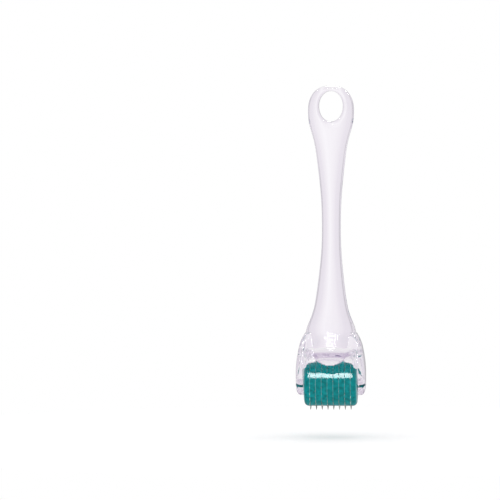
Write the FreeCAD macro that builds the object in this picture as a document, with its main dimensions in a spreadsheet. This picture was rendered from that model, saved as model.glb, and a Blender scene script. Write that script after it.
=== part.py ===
"""Derma roller: a clear moulded handle with a fork, and a drum of needles that rolls between its arms.

Frame: +Z runs up the handle, X along the drum's axle, -Y is the front.
The origin is the centre of the hang hole in the paddle. Lengths are in millimetres.
The pieces are drawn about the axle, and each one's Placement lowers it by the hole's height.
"""

import FreeCAD
import Part
import Sketcher

import math
import os

App = FreeCAD
Vector = App.Vector

doc = App.newDocument("derma_roller")
sheet = doc.addObject("Spreadsheet::Sheet", "Dimensions")

# ---------------------------------------------------------------------------
# driving dimensions
# ---------------------------------------------------------------------------

DIMENSIONS = [
    # drum
    ("drum_radius", 10.0, "radius of the plastic drum"),
    ("drum_half", 11.8, "half the drum's length, to the end discs' outer faces"),
    ("drum_edge", 2.0, "rounding of the drum's two outer edges"),
    ("row_pitch", 2.58, "distance from one needle row to the next, one disc's thickness"),
    ("disc_chamfer", 0.08, "chamfer on the rim of each disc, seen as a fine joint line"),
    ("boss_radius", 3.0, "thrust boss on the outside of each end disc"),
    ("boss_height", 0.2, "how far the thrust boss stands out"),
    # needles
    ("needle_radius", 0.125, "needle shank radius"),
    ("needle_reach", 2.0, "needle length outside the drum"),
    ("needle_root", 6.4, "distance from the drum's axis to a needle's inner end"),
    ("needle_point", 0.9, "length of the tapered point"),
    ("needle_tip", 0.015, "radius of the blunted tip"),
    ("groove_width", 0.27, "width of the groove that holds half a needle"),
    ("groove_depth", 0.135, "depth of that groove in each disc face"),
    ("groove_relief", 0.05, "how far a groove runs in past a needle's inner end"),
    ("cut_margin", 1.0, "how far a cutting form runs past what it cuts"),
    # axle
    ("core_flats", 6.0, "size of the six-sided core across its flats"),
    ("core_half", 11.0, "half the core's length"),
    ("core_play", 0.04, "gap between the core's flats and the discs"),
    ("journal_radius", 1.0, "radius of the axle's round ends"),
    ("journal_half", 15.3, "half the axle's length over its round ends"),
    ("journal_bore", 1.06, "radius of the bores that the round ends run in"),
    # fork
    ("fork_half_gap", 12.1, "half the space between the two arms"),
    ("pocket_radius", 13.6, "radius of the space that clears the needle tips"),
    ("pocket_rise", 1.6, "how far that space's centre lies above the axle"),
    ("pocket_edge", 2.5, "rounding of that space towards the arms"),
    ("bay_top", 7.0, "height above the axle up to which the bay between the arms is square"),
    ("scoop_radius", 75.0, "curve of the scoops in the hood's front and back, seen from above"),
    ("scoop_depth", 10.83, "half the hood's depth in the middle of the scoops, at their level"),
    ("scoop_level", 9.0, "height above the axle of that place"),
    ("scoop_slope", 19.0, "how far the scoops lean in towards the neck, in degrees"),
    ("scoop_length", 90.0, "length of the round form that cuts a scoop"),
    # paddle
    ("paddle_level", 121.5, "height of the paddle's widest place above the axle"),
    ("paddle_half_width", 10.25, "half the paddle's width"),
    ("paddle_half_height", 11.4, "height of the paddle's round end above its widest place"),
    ("paddle_half_depth", 3.1, "half the paddle's thickness"),
    ("paddle_squareness", 2.3, "exponent of the paddle's oval, where 2 is an ellipse"),
    ("paddle_fullness", 2.8, "exponent of the sections across the paddle"),
    ("rim_fullness", 2.2, "the same at its very top"),
    ("hole_level", 123.6, "height of the hang hole's centre above the axle"),
    ("hole_half_width", 5.35, "half the hang hole's width at its waist"),
    ("hole_half_height", 6.8, "half the hang hole's height at its waist"),
    ("hole_round", 2.2, "rounding of the hang hole's edges"),
    ("hole_flare", 0.6, "how much wider the hole's cutting form gets outside the paddle"),
]

ROW_COUNT = 8
NEEDLES_PER_ROW = 24

# Sections across the neck, from the head up, each a rounded rectangle given by the formula of a
# superellipse: name, height above the axle, half width, half depth, how far its centre lies to
# the back, and exponent (2 is an ellipse, larger is squarer).
NECK = [
    ("root", 5.0, 10.0, 12.0, 0.0, 2.5),
    ("lip", 11.0, 10.2, 11.9, 0.0, 2.5),
    ("brow", 15.5, 10.4, 11.0, 0.0, 2.5),
    ("dome", 19.0, 10.7, 9.6, 0.0, 2.7),
    ("yoke", 22.3, 11.2, 8.3, 0.0, 2.9),
    ("flare", 26.5, 10.15, 7.3, 0.1, 3.0),
    ("throat", 31.0, 8.35, 6.5, 0.3, 2.9),
    ("collar", 38.0, 6.8, 5.6, 0.9, 2.6),
    ("shank", 48.5, 5.45, 4.7, 2.2, 2.4),
    ("slope", 59.5, 4.45, 4.2, 3.2, 2.3),
    ("waist", 70.0, 4.2, 4.0, 3.5, 2.3),
    ("grip", 84.5, 4.7, 3.7, 2.8, 2.4),
    ("tail", 98.5, 6.15, 3.35, 1.4, 2.6),
    ("bell", 109.5, 8.0, 3.15, 0.4, 2.8),
    ("cheek", 116.0, 9.75, 3.1, 0.1, 2.8),
]

# The same for the head's shell, from the shoulder down to the feet of the arms.
SHELL = [
    ("crown", 22.65, 11.55, 7.4, 0.0, 4.4),
    ("slant", 20.0, 12.95, 8.7, 0.0, 4.8),
    ("temple", 16.5, 14.1, 10.4, 0.0, 5.2),
    ("hood", 12.3, 14.85, 11.8, 0.0, 5.6),
    ("jaw", 7.8, 15.35, 12.4, 0.0, 6.0),
    ("elbow", 4.2, 15.5, 10.2, 0.0, 6.0),
    ("arm", 0.8, 15.55, 7.3, 0.0, 6.0),
    ("wrist", -2.3, 15.4, 5.15, 0.0, 6.0),
    ("ankle", -4.0, 14.9, 3.6, 0.0, 5.6),
    ("heel", -4.9, 14.2, 1.95, 0.0, 5.0),
    ("foot", -5.18, 13.5, 0.7, 0.0, 4.4),
]

SECTION_PARTS = ["level", "half_width", "half_depth", "set_back", "exponent"]
QUARTER_STEPS = 8
HOLE_STEPS = 8
# places of the sections that close the paddle, as angles of its oval
PADDLE_ANGLES = [0, 20, 40, 55, 67, 77, 85]

X_AXIS = Vector(1, 0, 0)
Y_AXIS = Vector(0, 1, 0)
Z_AXIS = Vector(0, 0, 1)
SAME_PLACE = 1e-4


def write_row(row, alias, value, note):
    sheet.set("A%d" % row, alias)
    sheet.set("B%d" % row, repr(value))
    sheet.setAlias("B%d" % row, alias)
    sheet.set("C%d" % row, note)


def fill_sheet():
    """Writes every dimension to the sheet, with its alias and a note."""
    row = 1
    for alias, value, note in DIMENSIONS:
        write_row(row, alias, value, note)
        row += 1
    for name, *values in NECK + SHELL:
        for part, value in zip(SECTION_PARTS, values):
            write_row(row, name + "_" + part, value, "%s of the %s section" % (part, name))
            row += 1
    doc.recompute()


def size(alias):
    """The value of one cell of the sheet."""
    return float(sheet.get(alias))


def bind(thing, path, expression):
    """Ties one property to the sheet; names in the expression are the sheet's aliases."""
    thing.setExpression(path, expression)


fill_sheet()

# ---------------------------------------------------------------------------
# sketches and bodies
# ---------------------------------------------------------------------------

ORIGIN_POINT = (-1, 1)
START_SPOT = Vector(5, 5, 0)
H_LINE = -1
V_LINE = -2


def new_body(label):
    body = doc.addObject("PartDesign::Body", label)
    body.Label = label
    return body


def origin_item(body, role):
    """One of the body's own origin planes or axes."""
    for item in body.Origin.OriginFeatures:
        if item.Role == role:
            return item
    raise ValueError(role)


def new_sketch(body, name, plane):
    sketch = body.newObject("Sketcher::SketchObject", name)
    sketch.AttachmentSupport = (origin_item(body, plane), [""])
    sketch.MapMode = "FlatFace"
    return sketch


def fix_point(sketch, index, end, across, up):
    """Holds one end of a sketch line at two expressions, measured from the sketch's origin."""
    spot = sketch.getPoint(index, end)
    ways = (("DistanceX", V_LINE, across, spot.x), ("DistanceY", H_LINE, up, spot.y))
    for kind, axis, expression, now in ways:
        if expression == "0":
            sketch.addConstraint(Sketcher.Constraint("PointOnObject", index, end, axis))
            continue
        number = sketch.addConstraint(Sketcher.Constraint(kind, *ORIGIN_POINT, index, end, now))
        sketch.setExpression("Constraints[%d]" % number, expression)


def add_polygon(sketch, corners):
    """Draws a closed polygon whose corners are pairs of expressions.

    The corners start on a small circle off the axes, and their constraints move them into place.
    """
    count = len(corners)
    spots = []
    for step in range(count):
        angle = 2 * math.pi * step / count
        spots.append(START_SPOT + Vector(math.cos(angle), math.sin(angle), 0))
    first = sketch.GeometryCount
    for step in range(count):
        sketch.addGeometry(Part.LineSegment(spots[step], spots[(step + 1) % count]), False)
    for step in range(count):
        after = first + (step + 1) % count
        sketch.addConstraint(Sketcher.Constraint("Coincident", first + step, 2, after, 1))
    for step, (across, up) in enumerate(corners):
        fix_point(sketch, first + step, 1, across, up)


def add_circle(sketch, radius):
    """Draws a circle about the sketch's origin, with its radius as an expression."""
    index = sketch.addGeometry(Part.Circle(Vector(0, 0, 0), Z_AXIS, 1.0), False)
    sketch.addConstraint(Sketcher.Constraint("Coincident", index, 3, *ORIGIN_POINT))
    number = sketch.addConstraint(Sketcher.Constraint("Radius", index, 1.0))
    sketch.setExpression("Constraints[%d]" % number, radius)


def add_hexagon(sketch, flats):
    """Draws a hexagon about the origin; its size across the flats is an expression."""
    corners = []
    for step in range(6):
        angle = 60 * step
        corners.append(
            (
                "(%s) / sqrt(3) * cos(%d deg)" % (flats, angle),
                "(%s) / sqrt(3) * sin(%d deg)" % (flats, angle),
            )
        )
    corners[0] = (corners[0][0], "0")
    corners[3] = (corners[3][0], "0")
    add_polygon(sketch, corners)


def spin(body, name, sketch):
    """Turns a profile once round the X axis."""
    feature = body.newObject("PartDesign::Revolution", name)
    feature.Profile = sketch
    feature.ReferenceAxis = (origin_item(body, "X_Axis"), [""])
    feature.Angle = 360.0
    return feature


def repeat_round(body, name, features):
    """Repeats features round the X axis, once for every needle of a row."""
    pattern = body.newObject("PartDesign::PolarPattern", name)
    pattern.Originals = features
    pattern.Axis = (origin_item(body, "X_Axis"), [""])
    pattern.Angle = 360.0
    pattern.Occurrences = NEEDLES_PER_ROW
    body.Tip = pattern
    return pattern


def place(thing, along="0", turn=None):
    """Sets a sub-part at its place along the axle, and everything down by the hole's height."""
    if turn is not None:
        thing.Placement = App.Placement(Vector(0, 0, 0), turn)
    bind(thing, "Placement.Base.x", along)
    bind(thing, "Placement.Base.z", "-Dimensions.hole_level")


# ---------------------------------------------------------------------------
# drum
# ---------------------------------------------------------------------------


def row_phase(row):
    """Neighbouring rows are staggered by half the angle between two needles."""
    return (row % 2) * 180.0 / NEEDLES_PER_ROW


def cut_grooves(body, faces):
    """Cuts the radial grooves that hold the needles: one pocket for each face, then a pattern.

    faces holds, for each grooved face, its place along X as an expression, the row's phase, and
    whether the pocket goes towards +X.
    """
    half = "Dimensions.groove_width / 2"
    near = "Dimensions.needle_root - Dimensions.groove_relief"
    far = "Dimensions.drum_radius + Dimensions.cut_margin"
    pockets = []
    for number, (along, phase, forward) in enumerate(faces):
        sketch = new_sketch(body, "%s_groove_%d" % (body.Label, number), "YZ_Plane")
        sketch.AttachmentOffset = App.Placement(Vector(0, 0, 0), App.Rotation(Z_AXIS, phase))
        bind(sketch, "AttachmentOffset.Base.z", along)
        add_polygon(sketch, [("-" + half, near), (half, near), (half, far), ("-" + half, far)])
        pocket = body.newObject("PartDesign::Pocket", "%s_pocket_%d" % (body.Label, number))
        pocket.Profile = sketch
        bind(pocket, "Length", "Dimensions.groove_depth")
        pocket.Reversed = forward
        pockets.append(pocket)
    repeat_round(body, body.Label + "_grooves", pockets)


def make_disc(number):
    """One inner disc, between needle rows number and number + 1."""
    body = new_body("drum_disc_%d" % number)
    half = "Dimensions.row_pitch / 2"
    rim = "Dimensions.drum_radius"
    eased = "Dimensions.drum_radius - Dimensions.disc_chamfer"
    shy = "Dimensions.row_pitch / 2 - Dimensions.disc_chamfer"
    profile = new_sketch(body, body.Label + "_profile", "XZ_Plane")
    add_polygon(
        profile,
        [
            ("-" + half, "0"),
            (half, "0"),
            (half, eased),
            (shy, rim),
            ("-(%s)" % shy, rim),
            ("-" + half, eased),
        ],
    )
    spin(body, body.Label + "_blank", profile)
    hole = new_sketch(body, body.Label + "_core_hole", "YZ_Plane")
    add_hexagon(hole, "Dimensions.core_flats + 2 * Dimensions.core_play")
    cut = body.newObject("PartDesign::Pocket", body.Label + "_core")
    cut.Profile = hole
    cut.Midplane = True
    bind(cut, "Length", "2 * Dimensions.row_pitch")
    cut_grooves(
        body,
        [
            ("-Dimensions.row_pitch / 2", row_phase(number), True),
            ("Dimensions.row_pitch / 2", row_phase(number + 1), False),
        ],
    )
    place(body, "%g * Dimensions.row_pitch" % (number - ROW_COUNT / 2))
    return body


def make_end_disc(label, row, turn):
    """An end disc, drawn for the +X end; turn is in degrees, 180 for the other end."""
    body = new_body(label)
    inner = "(%g * Dimensions.row_pitch)" % ((ROW_COUNT - 1) / 2)
    outer = "Dimensions.drum_half"
    boss = "(Dimensions.drum_half + Dimensions.boss_height)"
    profile = new_sketch(body, label + "_profile", "XZ_Plane")
    add_polygon(
        profile,
        [
            (inner, "0"),
            (boss, "0"),
            (boss, "Dimensions.boss_radius"),
            (outer, "Dimensions.boss_radius"),
            (outer, "Dimensions.drum_radius"),
            (inner + " + Dimensions.disc_chamfer", "Dimensions.drum_radius"),
            (inner, "Dimensions.drum_radius - Dimensions.disc_chamfer"),
        ],
    )
    spin(body, label + "_blank", profile)
    hole = new_sketch(body, label + "_core_hole", "YZ_Plane")
    add_hexagon(hole, "Dimensions.core_flats + 2 * Dimensions.core_play")
    cut = body.newObject("PartDesign::Pocket", label + "_core")
    cut.Profile = hole
    cut.Reversed = True
    bind(cut, "Length", "Dimensions.core_half + Dimensions.core_play")
    bore = new_sketch(body, label + "_bore_circle", "YZ_Plane")
    add_circle(bore, "Dimensions.journal_bore")
    through = body.newObject("PartDesign::Pocket", label + "_bore")
    through.Profile = bore
    through.Reversed = True
    bind(through, "Length", "2 * Dimensions.drum_half")
    doc.recompute()
    round_rim(body, label)
    cut_grooves(body, [(inner, row_phase(row), True)])
    place(body, "0", App.Rotation(Z_AXIS, turn))
    return body


def round_rim(body, label):
    """Rounds the outer edge of an end disc."""
    rim_radius = size("drum_radius")
    face_at = size("drum_half")
    names = []
    for index, edge in enumerate(body.Shape.Edges):
        curve = edge.Curve
        if not isinstance(curve, Part.Circle):
            continue
        if abs(curve.Radius - rim_radius) > SAME_PLACE:
            continue
        if abs(curve.Center.x - face_at) < SAME_PLACE:
            names.append("Edge%d" % (index + 1))
    blank = body.Tip
    fillet = body.newObject("PartDesign::Fillet", label + "_rim")
    fillet.Base = (blank, names)
    bind(fillet, "Radius", "Dimensions.drum_edge")
    return fillet


def make_needle_ring(row):
    """One row of needles: each is a round shank with a tapered point, set between two discs."""
    body = new_body("needle_ring_%d" % row)
    body.AllowCompound = True
    tip = "(Dimensions.drum_radius + Dimensions.needle_reach)"
    profile = new_sketch(body, body.Label + "_profile", "XZ_Plane")
    add_polygon(
        profile,
        [
            ("0", "Dimensions.needle_root"),
            ("Dimensions.needle_radius", "Dimensions.needle_root"),
            ("Dimensions.needle_radius", tip + " - Dimensions.needle_point"),
            ("Dimensions.needle_tip", tip),
            ("0", tip),
        ],
    )
    needle = body.newObject("PartDesign::Revolution", body.Label + "_needle")
    needle.Profile = profile
    needle.ReferenceAxis = (origin_item(body, "Z_Axis"), [""])
    needle.Angle = 360.0
    repeat_round(body, body.Label + "_row", [needle])
    along = "%g * Dimensions.row_pitch" % (row - (ROW_COUNT + 1) / 2)
    place(body, along, App.Rotation(X_AXIS, row_phase(row)))
    return body


def make_axle():
    """The six-sided core that carries the discs, with a round journal at each end."""
    body = new_body("drum_axle")
    core = new_sketch(body, "axle_core_outline", "YZ_Plane")
    add_hexagon(core, "Dimensions.core_flats")
    bar = body.newObject("PartDesign::Pad", "axle_core")
    bar.Profile = core
    bar.Midplane = True
    bind(bar, "Length", "2 * Dimensions.core_half")
    journal = new_sketch(body, "axle_journal_outline", "YZ_Plane")
    add_circle(journal, "Dimensions.journal_radius")
    ends = body.newObject("PartDesign::Pad", "axle_journals")
    ends.Profile = journal
    ends.Midplane = True
    bind(ends, "Length", "2 * Dimensions.journal_half")
    place(body)
    return body


# ---------------------------------------------------------------------------
# handle
# ---------------------------------------------------------------------------


def section_quarter(level, half_width, half_depth, set_back, exponent, quarter):
    """A quarter of a superellipse in a level plane, as one smooth curve.

    Every quarter has the same parameters at its points, which keeps the lofted faces simple.
    """
    points = []
    for step in range(QUARTER_STEPS + 1):
        angle = math.pi / 2 * (quarter + step / QUARTER_STEPS)
        across = math.cos(angle)
        deep = math.sin(angle)
        reach = (abs(across) ** exponent + abs(deep) ** exponent) ** (-1 / exponent)
        points.append(Vector(half_width * reach * across, set_back + half_depth * reach * deep, level))
    speeds = []
    for turn in (quarter, quarter + 1):
        angle = math.pi / 2 * turn
        speed = Vector(-half_width * math.sin(angle), half_depth * math.cos(angle), 0)
        speeds.append(speed * (math.pi / 2))
    curve = Part.BSplineCurve()
    curve.interpolate(
        Points=points,
        Parameters=[step / QUARTER_STEPS for step in range(QUARTER_STEPS + 1)],
        InitialTangent=speeds[0],
        FinalTangent=speeds[1],
        Scale=False,
    )
    return curve.toShape()


def section_wire(*numbers):
    """A whole superellipse: height, half width, half depth, set back and exponent."""
    return Part.Wire([section_quarter(*numbers, quarter) for quarter in range(4)])


def sheet_sections(sections):
    """The wires of a table of sections, with their sizes read from the sheet."""
    wires = []
    for name, *values in sections:
        wires.append(section_wire(*[size(name + "_" + part) for part in SECTION_PARTS]))
    return wires


def paddle_sections():
    """The sections that close the paddle: an oval outline with a round rim."""
    wires = []
    depth = size("paddle_half_depth")
    squareness = size("paddle_squareness")
    fullness = size("paddle_fullness")
    top = size("paddle_level") + size("paddle_half_height")
    for angle in PADDLE_ANGLES:
        share = math.sin(math.radians(angle))
        level = size("paddle_level") + size("paddle_half_height") * share
        half_width = size("paddle_half_width") * (1 - share**squareness) ** (1 / squareness)
        into_rim = max(0.0, (level - (top - depth)) / depth)
        half_depth = depth * math.sqrt(1 - into_rim**2)
        exponent = fullness + (size("rim_fullness") - fullness) * into_rim
        wires.append(section_wire(level, half_width, half_depth, 0.0, exponent))
    return wires


def make_grip_form():
    """The bar from inside the head to the end of the paddle, one smooth lofted form."""
    form = doc.addObject("Part::Feature", "grip_form")
    form.Shape = Part.makeLoft(sheet_sections(NECK) + paddle_sections(), True, False)
    return form


def make_shell_form():
    """The head's shell with both arms, still solid between them."""
    form = doc.addObject("Part::Feature", "shell_form")
    form.Shape = Part.makeLoft(sheet_sections(SHELL), True, False)
    return form


def make_bay_form():
    """The square space between the arms."""
    reach = "(Dimensions.pocket_radius + Dimensions.cut_margin)"
    bay = doc.addObject("Part::Box", "bay_form")
    bind(bay, "Length", "2 * Dimensions.fork_half_gap")
    bind(bay, "Width", "2 * " + reach)
    bind(bay, "Height", "Dimensions.pocket_radius + Dimensions.bay_top")
    bind(bay, "Placement.Base.x", "-Dimensions.fork_half_gap")
    bind(bay, "Placement.Base.y", "-" + reach)
    bind(bay, "Placement.Base.z", "-Dimensions.pocket_radius")
    return bay


def make_scoop_form(label, turn):
    """A round form that hollows the hood, at the front or, turned round, at the back."""
    slope = math.radians(size("scoop_slope"))
    along = Vector(0, math.sin(slope), math.cos(slope))
    outward = Vector(0, -math.cos(slope), math.sin(slope))
    start = Vector(0, -size("scoop_depth"), size("scoop_level"))
    start = start + outward * size("scoop_radius") - along * (size("scoop_length") / 2)
    scoop = doc.addObject("Part::Cylinder", label)
    bind(scoop, "Radius", "Dimensions.scoop_radius")
    bind(scoop, "Height", "Dimensions.scoop_length")
    lean = App.Placement(start, App.Rotation(X_AXIS, -size("scoop_slope")))
    scoop.Placement = App.Placement(Vector(0, 0, 0), App.Rotation(Z_AXIS, turn)).multiply(lean)
    return scoop


def make_pocket_form():
    """The round space under the hood that clears the needle tips, with rounded ends."""
    body = new_body("pocket_form")
    sketch = new_sketch(body, "pocket_profile", "XZ_Plane")
    gap = "Dimensions.fork_half_gap"
    add_polygon(
        sketch,
        [
            ("-" + gap, "0"),
            (gap, "0"),
            (gap, "Dimensions.pocket_radius"),
            ("-" + gap, "Dimensions.pocket_radius"),
        ],
    )
    spin(body, "pocket", sketch)
    doc.recompute()
    names = []
    for index, edge in enumerate(body.Shape.Edges):
        if isinstance(edge.Curve, Part.Circle):
            names.append("Edge%d" % (index + 1))
    blank = body.Tip
    fillet = body.newObject("PartDesign::Fillet", "pocket_rounding")
    fillet.Base = (blank, names)
    bind(fillet, "Radius", "Dimensions.pocket_edge")
    bind(body, "Placement.Base.z", "Dimensions.pocket_rise")
    return body


def make_bore_form():
    """The bore through both arms that the axle's ends run in."""
    reach = "(Dimensions.journal_half + Dimensions.cut_margin)"
    bore = doc.addObject("Part::Cylinder", "bore_form")
    bind(bore, "Radius", "Dimensions.journal_bore")
    bind(bore, "Height", "2 * " + reach)
    bore.Placement = App.Placement(Vector(0, 0, 0), App.Rotation(Y_AXIS, 90))
    bind(bore, "Placement.Base.x", "-" + reach)
    return bore


def make_hole_form():
    """The oval hang hole, opening towards both faces with a round edge."""
    depth = size("paddle_half_depth")
    bend = size("hole_round")
    wires = []
    for step in range(-HOLE_STEPS, HOLE_STEPS + 1):
        deep = depth * math.sin(math.pi / 2 * step / HOLE_STEPS)
        past = max(0.0, abs(deep) - (depth - bend)) / bend
        opening = bend * (1 - math.sqrt(max(0.0, 1 - past**2)))
        wires.append(hole_wire(deep, opening))
    beyond = depth + size("cut_margin")
    outermost = bend + size("hole_flare")
    wires.insert(0, hole_wire(-beyond, outermost))
    wires.append(hole_wire(beyond, outermost))
    form = doc.addObject("Part::Feature", "hole_form")
    form.Shape = Part.makeLoft(wires, True, False)
    return form


def hole_wire(deep, opening):
    """The hole's oval outline at one depth, larger all round by opening."""
    tall = size("hole_half_height") + opening
    wide = size("hole_half_width") + opening
    centre = Vector(0, deep, size("hole_level"))
    oval = Part.Ellipse(centre + Vector(0, 0, tall), centre + Vector(wide, 0, 0), centre)
    return Part.Wire([oval.toShape()])


def make_handle():
    """The clear handle: the grip and the head's shell in one, with everything cut out of it."""
    scoops = doc.addObject("Part::MultiFuse", "scoops")
    scoops.Shapes = [make_scoop_form("front_scoop", 0), make_scoop_form("back_scoop", 180)]
    head = doc.addObject("Part::Cut", "scooped_shell")
    head.Base = make_shell_form()
    head.Tool = scoops
    blank = doc.addObject("Part::MultiFuse", "handle_blank")
    blank.Shapes = [make_grip_form(), head]
    tools = doc.addObject("Part::MultiFuse", "handle_tools")
    tools.Shapes = [make_bay_form(), make_pocket_form()]
    bored = doc.addObject("Part::Cut", "handle_forked")
    bored.Base = blank
    bored.Tool = tools
    holes = doc.addObject("Part::MultiFuse", "handle_holes")
    holes.Shapes = [make_bore_form(), make_hole_form()]
    handle = doc.addObject("Part::Cut", "handle")
    handle.Label = "handle"
    handle.Base = bored
    handle.Tool = holes
    place(handle)
    return handle


# ---------------------------------------------------------------------------
# whole part
# ---------------------------------------------------------------------------


def make_all():
    parts = [make_handle(), make_axle()]
    parts.append(make_end_disc("end_disc_right", ROW_COUNT, 0))
    parts.append(make_end_disc("end_disc_left", 1, 180))
    for number in range(1, ROW_COUNT):
        parts.append(make_disc(number))
    for row in range(1, ROW_COUNT + 1):
        parts.append(make_needle_ring(row))
    return parts


def check(parts):
    """Stops on any object that failed to build."""
    for thing in doc.Objects:
        if "Invalid" in thing.State or "Error" in thing.State:
            raise RuntimeError("%s: %s" % (thing.Name, thing.State))
    for part in parts:
        if part.Shape.isNull() or not part.Shape.isValid():
            raise RuntimeError("%s has no valid shape" % part.Label)


def write(parts):
    os.makedirs("parts", exist_ok=True)
    for part in parts:
        part.Shape.exportStep("parts/%s.step" % part.Label)
        box = part.Shape.BoundBox
        print(
            "%-16s %3d solids %10.2f mm3  x %.2f..%.2f  y %.2f..%.2f  z %.2f..%.2f"
            % (
                part.Label,
                len(part.Shape.Solids),
                part.Shape.Volume,
                box.XMin,
                box.XMax,
                box.YMin,
                box.YMax,
                box.ZMin,
                box.ZMax,
            )
        )


subparts = make_all()
doc.recompute()
check(subparts)
write(subparts)
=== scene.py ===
import math

import bmesh
import bpy
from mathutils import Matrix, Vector


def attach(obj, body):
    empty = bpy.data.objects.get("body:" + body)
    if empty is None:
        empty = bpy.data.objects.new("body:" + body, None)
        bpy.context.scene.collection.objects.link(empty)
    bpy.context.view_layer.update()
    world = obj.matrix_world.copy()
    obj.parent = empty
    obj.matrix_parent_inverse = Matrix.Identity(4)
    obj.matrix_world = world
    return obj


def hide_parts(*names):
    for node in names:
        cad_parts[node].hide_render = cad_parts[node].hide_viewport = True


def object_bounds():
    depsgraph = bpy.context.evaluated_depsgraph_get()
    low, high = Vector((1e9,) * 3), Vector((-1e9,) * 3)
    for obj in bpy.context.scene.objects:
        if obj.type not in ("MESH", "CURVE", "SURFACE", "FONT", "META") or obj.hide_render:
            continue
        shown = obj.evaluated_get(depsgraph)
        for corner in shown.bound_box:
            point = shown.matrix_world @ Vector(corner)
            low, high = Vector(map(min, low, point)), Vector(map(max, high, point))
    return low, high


# Derma roller: a clear moulded handle whose fork carries a teal drum with eight rows of needles.
# Everything is in metres, +Z up the handle, X along the drum's axle, the front towards -Y.

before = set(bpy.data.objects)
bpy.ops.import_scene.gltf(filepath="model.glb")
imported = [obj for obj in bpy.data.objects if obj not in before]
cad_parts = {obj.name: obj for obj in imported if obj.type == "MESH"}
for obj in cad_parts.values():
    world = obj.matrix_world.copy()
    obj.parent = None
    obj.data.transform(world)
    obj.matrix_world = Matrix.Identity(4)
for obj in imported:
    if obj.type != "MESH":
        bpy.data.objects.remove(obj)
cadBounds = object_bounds()
mm = 0.001

discNodes = ["end_disc_left", "end_disc_right"] + ["drum_disc_%d" % n for n in range(1, 8)]
needleNodes = ["needle_ring_%d" % n for n in range(1, 9)]


def newMaterial(name):
    material = bpy.data.materials.new(name)
    material.use_nodes = True
    tree = material.node_tree
    tree.nodes.clear()
    return material, tree


def addNode(tree, kind, values=None, links=None):
    # values go straight on the sockets, links join them to other nodes' outputs
    node = tree.nodes.new(kind)
    for name, value in (values or {}).items():
        node.inputs[name].default_value = value
    for name, output in (links or {}).items():
        tree.links.new(output, node.inputs[name])
    return node


def objectSpot(tree):
    # a point's place on the object, so that a pattern stays with its piece
    return tree.nodes.new("ShaderNodeTexCoord").outputs["Object"]


def noise(tree, spot, scale, detail=3.0, roughness=0.5):
    node = addNode(
        tree,
        "ShaderNodeTexNoise",
        {"Scale": scale, "Detail": detail, "Roughness": roughness},
        {"Vector": spot},
    )
    return node.outputs["Fac"]


def ramp(tree, source, stops):
    # stops are pairs of place and grey value or colour
    node = addNode(tree, "ShaderNodeValToRGB", None, {"Fac": source})
    band = node.color_ramp
    while len(band.elements) < len(stops):
        band.elements.new(0.5)
    for element, (place, value) in zip(band.elements, stops):
        element.position = place
        shade = value if isinstance(value, tuple) else (value, value, value)
        element.color = (*shade, 1.0)
    return node.outputs["Color"]


def bump(tree, height, strength, distance):
    return addNode(
        tree, "ShaderNodeBump", {"Strength": strength, "Distance": distance}, {"Height": height}
    ).outputs["Normal"]


def stretched(tree, spot, scale):
    return addNode(tree, "ShaderNodeMapping", {"Scale": scale}, {"Vector": spot}).outputs["Vector"]


def shadeOf(tree, source, stops, low=0.0, high=1.0):
    spread = addNode(tree, "ShaderNodeMapRange", {"From Min": low, "From Max": high}, {"Value": source})
    return ramp(tree, spread.outputs[0], stops)


def maths(tree, operation, first, second=None):
    node = tree.nodes.new("ShaderNodeMath")
    node.operation = operation
    for socket, value in zip(node.inputs, (first, second)):
        if isinstance(value, bpy.types.NodeSocket):
            tree.links.new(value, socket)
        elif value is not None:
            socket.default_value = value
    return node.outputs[0]


handleLook = {
    "voxel": 0.21 * mm,
    "smoothing": 0.5,
    "smoothRounds": 8,
    "refraction": 1.49,
    "roughness": 0.012,
    "flowWave": 0.05 * mm,      # depth of the slow waves that moulding leaves
    "flowScale": 90.0,
    "flowStretch": (1.0, 1.0, 0.35),    # the waves are longer up the handle
    "flowStrength": 0.12,
    "hazeScale": 420.0,
    "tint": (0.985, 0.975, 0.99),
    "shadow": (0.92, 0.90, 0.93),       # what a shadow keeps of the light
    "mirrorTint": (0.14, 0.14, 0.15),   # keeps the soft boxes faint in the plastic
    "absorbColor": (0.50, 0.30, 0.60),
    "absorbDensity": 4.5,       # per metre
}


def clearPlastic():
    look = handleLook
    material, tree = newMaterial("clearPlastic")
    spot = objectSpot(tree)
    waves = noise(tree, stretched(tree, spot, look["flowStretch"]), look["flowScale"], 2.0)
    haze = noise(tree, spot, look["hazeScale"], 5.0, 0.65)
    normal = bump(tree, waves, look["flowStrength"], look["flowWave"])
    rough = ramp(tree, haze, [(0.35, look["roughness"]), (0.75, look["roughness"] * 3)])
    glass = addNode(
        tree,
        "ShaderNodeBsdfPrincipled",
        {
            "Base Color": (*look["tint"], 1.0),
            "IOR": look["refraction"],
            "Specular Tint": (*look["mirrorTint"], 1.0),
            "Transmission Weight": 1.0,
        },
        {"Roughness": rough, "Normal": normal},
    )
    passing = addNode(tree, "ShaderNodeBsdfTransparent", {"Color": (*look["shadow"], 1.0)})
    path = tree.nodes.new("ShaderNodeLightPath")
    mix = tree.nodes.new("ShaderNodeMixShader")  # lamps pass straight through it
    tree.links.new(path.outputs["Is Shadow Ray"], mix.inputs[0])
    tree.links.new(glass.outputs[0], mix.inputs[1])
    tree.links.new(passing.outputs[0], mix.inputs[2])
    body = addNode(
        tree,
        "ShaderNodeVolumeAbsorption",
        {"Color": (*look["absorbColor"], 1.0), "Density": look["absorbDensity"]},
    )
    out = tree.nodes.new("ShaderNodeOutputMaterial")
    tree.links.new(mix.outputs[0], out.inputs["Surface"])
    tree.links.new(body.outputs[0], out.inputs["Volume"])
    return material


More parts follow.
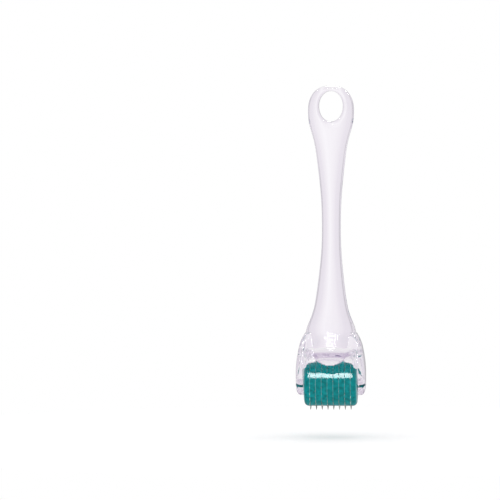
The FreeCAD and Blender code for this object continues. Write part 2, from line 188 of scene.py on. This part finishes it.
def makeHandle():
    look = handleLook
    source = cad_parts["handle"]
    piece = bpy.data.objects.new("clear_handle", source.data.copy())
    bpy.context.scene.collection.objects.link(piece)
    piece.matrix_world = source.matrix_world.copy()
    piece.data.materials.clear()
    remesh = piece.modifiers.new("skin", "REMESH")
    remesh.mode = "VOXEL"
    remesh.voxel_size = look["voxel"]
    smooth = piece.modifiers.new("polish", "SMOOTH")
    smooth.factor = look["smoothing"]
    smooth.iterations = look["smoothRounds"]
    settle(piece)
    piece.data.materials.append(clearPlastic())
    for face in piece.data.polygons:
        face.use_smooth = True
    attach(piece, "handle")
    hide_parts("handle")
    print("handle:", len(piece.data.polygons), "faces")
    return piece


def settle(piece):
    # puts the modifiers' result into the mesh
    depsgraph = bpy.context.evaluated_depsgraph_get()
    done = bpy.data.meshes.new_from_object(piece.evaluated_get(depsgraph))
    piece.modifiers.clear()
    piece.data = done


drumLook = {
    "teal": (0.001, 0.285, 0.300),
    "tealDeep": (0.0, 0.140, 0.140),
    "jointHighlight": (0.26, 0.52, 0.54),    # painted highlight: a pale line where two discs meet, standing in for the light their joints catch
    "pitch": 2.58 * mm,
    # width of the painted highlight along each joint
    "jointHighlightWidth": 0.13 * mm,
    "cloudScale": 620.0,        # soft clouds between the two teals
    "grainScale": 2400.0,
    "grainDepth": 0.02 * mm,
    "refraction": 1.5,
    "roughness": 0.10,
    "shine": 0.22,
}


def tealPlastic():
    look = drumLook
    material, tree = newMaterial("tealPlastic")
    spot = objectSpot(tree)
    cloud = noise(tree, spot, look["cloudScale"], 5.0, 0.65)
    colour = ramp(tree, cloud, [(0.34, look["tealDeep"]), (0.62, look["teal"])])
    along = addNode(tree, "ShaderNodeSeparateXYZ", None, {"Vector": spot}).outputs["X"]
    shifted = maths(tree, "ADD", along, look["pitch"] / 2)      # joints lie half a pitch off the middle
    away = maths(tree, "PINGPONG", shifted, look["pitch"] / 2)
    # painted highlight: a pale line along each joint between discs, broken up by the grain and mixed
    # into the teal
    jointHighlightMask = shadeOf(tree, away, [(0.0, 1.0), (0.7, 0.8), (1.0, 0.0)], 0.0, look["jointHighlightWidth"])
    grain = noise(tree, spot, look["grainScale"], 4.0, 0.6)
    brokenHighlightMask = maths(tree, "MULTIPLY", jointHighlightMask, ramp(tree, grain, [(0.35, 0.45), (0.6, 1.0)]))
    mixed = tree.nodes.new("ShaderNodeMix")
    mixed.data_type = "RGBA"
    tree.links.new(brokenHighlightMask, mixed.inputs[0])
    tree.links.new(colour, mixed.inputs[6])
    mixed.inputs[7].default_value = (*look["jointHighlight"], 1.0)
    rough = ramp(tree, grain, [(0.3, look["roughness"]), (0.8, look["roughness"] * 1.7)])
    skin = addNode(
        tree,
        "ShaderNodeBsdfPrincipled",
        {"IOR": look["refraction"], "Specular IOR Level": look["shine"]},
        {
            "Base Color": mixed.outputs[2],
            "Roughness": rough,
            "Normal": bump(tree, grain, 0.06, look["grainDepth"]),
        },
    )
    out = tree.nodes.new("ShaderNodeOutputMaterial")
    tree.links.new(skin.outputs[0], out.inputs["Surface"])
    return material


needleLook = {
    "dark": (0.44, 0.41, 0.38),
    "light": (0.62, 0.59, 0.56),
    "grindScale": 5200.0,       # fine marks left by grinding
    "roughness": (0.48, 0.62),
}


def needleSteel():
    look = needleLook
    material, tree = newMaterial("needleSteel")
    spot = objectSpot(tree)
    grind = noise(tree, spot, look["grindScale"], 2.0)
    shade = ramp(tree, grind, [(0.3, look["dark"]), (0.7, look["light"])])
    smoothest, roughest = look["roughness"]
    rough = ramp(tree, grind, [(0.3, smoothest), (0.7, roughest)])
    metal = addNode(
        tree,
        "ShaderNodeBsdfPrincipled",
        {"Metallic": 1.0},
        {"Base Color": shade, "Roughness": rough},
    )
    out = tree.nodes.new("ShaderNodeOutputMaterial")
    tree.links.new(metal.outputs[0], out.inputs["Surface"])
    return material


def dress(names, material):
    for name in names:
        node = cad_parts[name]
        node.data.materials.clear()
        node.data.materials.append(material)


studio = {
    "cameraAway": 1.6,          # metres
    "azimuth": 2.8,             # degrees towards +X
    "elevation": 1.0,
    "pictureWidth": 0.223,      # what the picture spans at the object, in metres
    "shiftRight": 0.162,        # how far right of the middle the object is, in widths
    "shiftUp": 0.004,
    "sensor": 36.0,
    "floorDrop": 12.0 * mm,     # the roller hangs this far above the floor
    "floorRadius": 0.22,
    "paperScale": 600.0,        # speckle of the floor's paper
    "paperShades": (0.96, 0.98),
}


def makeCamera(middle):
    data = bpy.data.cameras.new("studioCamera")
    camera = bpy.data.objects.new("studioCamera", data)
    bpy.context.scene.collection.objects.link(camera)
    az = math.radians(studio["azimuth"])
    el = math.radians(studio["elevation"])
    back = Vector((math.sin(az) * math.cos(el), -math.cos(az) * math.cos(el), math.sin(el)))
    camera.location = middle + back * studio["cameraAway"]
    camera.rotation_mode = "QUATERNION"
    camera.rotation_quaternion = (-back).to_track_quat("-Z", "Y")
    data.sensor_width = studio["sensor"]
    data.lens = studio["sensor"] * studio["cameraAway"] / studio["pictureWidth"]
    data.shift_x = -studio["shiftRight"]
    data.shift_y = -studio["shiftUp"]
    data.clip_start = 0.01
    data.clip_end = 50.0
    bpy.context.scene.camera = camera
    return camera


def makeFloor(spot):
    mesh = bpy.data.meshes.new("studio_floor")
    form = bmesh.new()
    bmesh.ops.create_circle(form, cap_ends=True, radius=studio["floorRadius"], segments=128)
    form.to_mesh(mesh)
    form.free()
    floor = bpy.data.objects.new("studio_floor", mesh)
    bpy.context.scene.collection.objects.link(floor)
    floor.location = spot
    material, tree = newMaterial("palePaper")
    speckle = noise(tree, objectSpot(tree), studio["paperScale"], 3.0)
    darkest, lightest = studio["paperShades"]
    shade = ramp(tree, speckle, [(0.3, darkest), (0.7, lightest)])
    paper = addNode(
        tree,
        "ShaderNodeBsdfPrincipled",
        {"Roughness": 0.8, "Specular IOR Level": 0.0},
        {"Base Color": shade},
    )
    out = tree.nodes.new("ShaderNodeOutputMaterial")
    tree.links.new(paper.outputs[0], out.inputs["Surface"])
    mesh.materials.append(material)
    floor.visible_transmission = False      # the clear plastic looks past it at the sky
    floor.visible_glossy = False
    return floor


sky = {
    "turns": 4.0,               # the walls repeat this often round the horizon
    "walls": [                  # brightness of a wall, from its middle to the gap beside it
        (0.0, (0.98, 0.97, 0.99)),
        (0.12, (0.93, 0.91, 0.94)),
        (0.36, (0.85, 0.82, 0.87)),
        (0.80, (0.82, 0.79, 0.84)),
        (0.93, (0.64, 0.62, 0.66)),
        (1.0, (0.56, 0.54, 0.58)),
    ],
    "dome": 1.12,               # brightness of the soft dome above the walls
    "domeThrough": 0.90,        # the same as the clear plastic shows it
    "domeFrom": 0.22,           # where the walls end and the dome begins
    "domeFull": 0.45,
    "mirrored": 0.45,           # how bright all this is in mirrored reflections, as a share
    "softbox": 40.0,            # brightness of the soft boxes, one over each wall, only mirrored
    "softboxHeights": (31.0, 59.0),     # degrees above the horizon
    "softboxSide": 0.25,        # how far a soft box reaches from its wall's middle to the gap
}


def makeSky():
    # white for the eye; for the light and for refraction four bright walls with darker gaps between
    # and a soft dome over them; soft boxes are only there for what mirrors them
    world = bpy.data.worlds.new("studioSky")
    bpy.context.scene.world = world
    world.use_nodes = True
    tree = world.node_tree
    tree.nodes.clear()
    way = tree.nodes.new("ShaderNodeTexCoord").outputs["Generated"]
    parts = addNode(tree, "ShaderNodeSeparateXYZ", None, {"Vector": way})
    height = parts.outputs["Z"]
    turn = maths(tree, "ARCTAN2", parts.outputs["X"], parts.outputs["Y"])
    share = maths(tree, "MULTIPLY", turn, sky["turns"] / (2 * math.pi))
    fold = maths(tree, "PINGPONG", share, 0.5)
    walls = shadeOf(tree, fold, sky["walls"], 0.0, 0.5)
    near = addNode(tree, "ShaderNodeBackground", {"Strength": 1.0}, {"Color": walls})
    path = tree.nodes.new("ShaderNodeLightPath")
    white = {"Color": (1.0, 1.0, 1.0, 1.0)}
    direct = addNode(tree, "ShaderNodeBackground", {**white, "Strength": sky["dome"]})
    through = addNode(tree, "ShaderNodeBackground", {**white, "Strength": sky["domeThrough"]})
    over = blendShaders(tree, path.outputs["Is Transmission Ray"], direct, through)
    rise = addNode(
        tree,
        "ShaderNodeMapRange",
        {"From Min": sky["domeFrom"], "From Max": sky["domeFull"]},
        {"Value": height},
    )
    around = blendShaders(tree, rise.outputs[0], near, over)
    bounced = maths(tree, "SUBTRACT", path.outputs["Is Glossy Ray"], path.outputs["Is Transmission Ray"])
    mirrored = maths(tree, "MAXIMUM", bounced, 0.0)
    dark = addNode(tree, "ShaderNodeBackground", {"Color": (0.0, 0.0, 0.0, 1.0)})
    less = maths(tree, "MULTIPLY", mirrored, 1.0 - sky["mirrored"])
    dimmed = blendShaders(tree, less, around, dark)
    lowest, highest = [math.sin(math.radians(a)) for a in sky["softboxHeights"]]
    inBox = shadeOf(tree, height, [(0.0, 0.0), (0.10, 1.0), (0.90, 1.0), (1.0, 0.0)], lowest, highest)
    beside = shadeOf(tree, fold, [(0.0, 1.0), (0.85, 1.0), (1.0, 0.0)], 0.0, sky["softboxSide"] / 2)
    glow = maths(tree, "MULTIPLY", maths(tree, "MULTIPLY", inBox, beside), mirrored)
    glowing = maths(tree, "MULTIPLY", glow, sky["softbox"])
    boxes = addNode(tree, "ShaderNodeBackground", white, {"Strength": glowing})
    both = tree.nodes.new("ShaderNodeAddShader")
    tree.links.new(dimmed.outputs[0], both.inputs[0])
    tree.links.new(boxes.outputs[0], both.inputs[1])
    plain = addNode(tree, "ShaderNodeBackground", {**white, "Strength": 1.0})
    seen = blendShaders(tree, path.outputs["Is Camera Ray"], both, plain)
    out = tree.nodes.new("ShaderNodeOutputWorld")
    tree.links.new(seen.outputs[0], out.inputs["Surface"])


def blendShaders(tree, share, first, second):
    mix = tree.nodes.new("ShaderNodeMixShader")
    tree.links.new(share, mix.inputs[0])
    tree.links.new(first.outputs[0], mix.inputs[1])
    tree.links.new(second.outputs[0], mix.inputs[2])
    return mix


low, high = cadBounds
middle = (low + high) / 2
makeCamera(middle)
makeHandle()
dress(discNodes + ["drum_axle"], tealPlastic())
dress(needleNodes, needleSteel())
print("drum dressed")
makeFloor(Vector((middle.x, middle.y, low.z - studio["floorDrop"])))
makeSky()
bpy.context.scene.view_settings.view_transform = "Standard"
cycles = bpy.context.scene.cycles
cycles.max_bounces = 40                 # light passes many walls of the clear plastic
cycles.transmission_bounces = 40
cycles.glossy_bounces = 40              # and is reflected many times inside it
print("studio ready")
